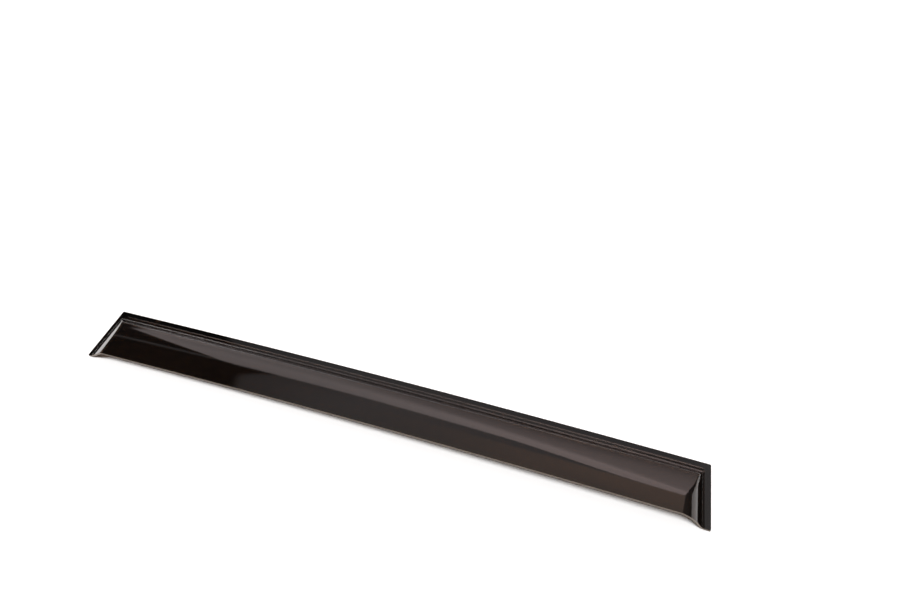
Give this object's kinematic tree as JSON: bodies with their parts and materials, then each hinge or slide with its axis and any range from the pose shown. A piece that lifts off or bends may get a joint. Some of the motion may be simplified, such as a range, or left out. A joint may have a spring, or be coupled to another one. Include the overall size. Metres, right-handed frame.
{
  "type": "window rain deflector",
  "caption": "Smoke-tinted car side-window rain deflector: a long formed acrylic visor with a stepped flange, curved end walls and black foam adhesive tape along the flange",
  "frame": {"origin": "centre of the bottom of the bounding box: z is 0 at the adhesive face of the tape, where the part sits on the door", "axes": "+X along the part, from its low end to its high end; +Y towards the flange along the door frame; +Z away from the door"},
  "size_m": [0.7811, 0.0756, 0.0293],
  "materials": {
    "tinted_acrylic": "polished, dark smoke-brown, slightly see-through",
    "foam_tape": "matt black closed-cell foam"
  },
  "bodies": {
    "root": {"visor": "tinted_acrylic", "long_top_tape": "foam_tape", "short_top_tape": "foam_tape", "left_end_tape": "foam_tape", "right_end_tape": "foam_tape"}
  },
  "joints": []
}
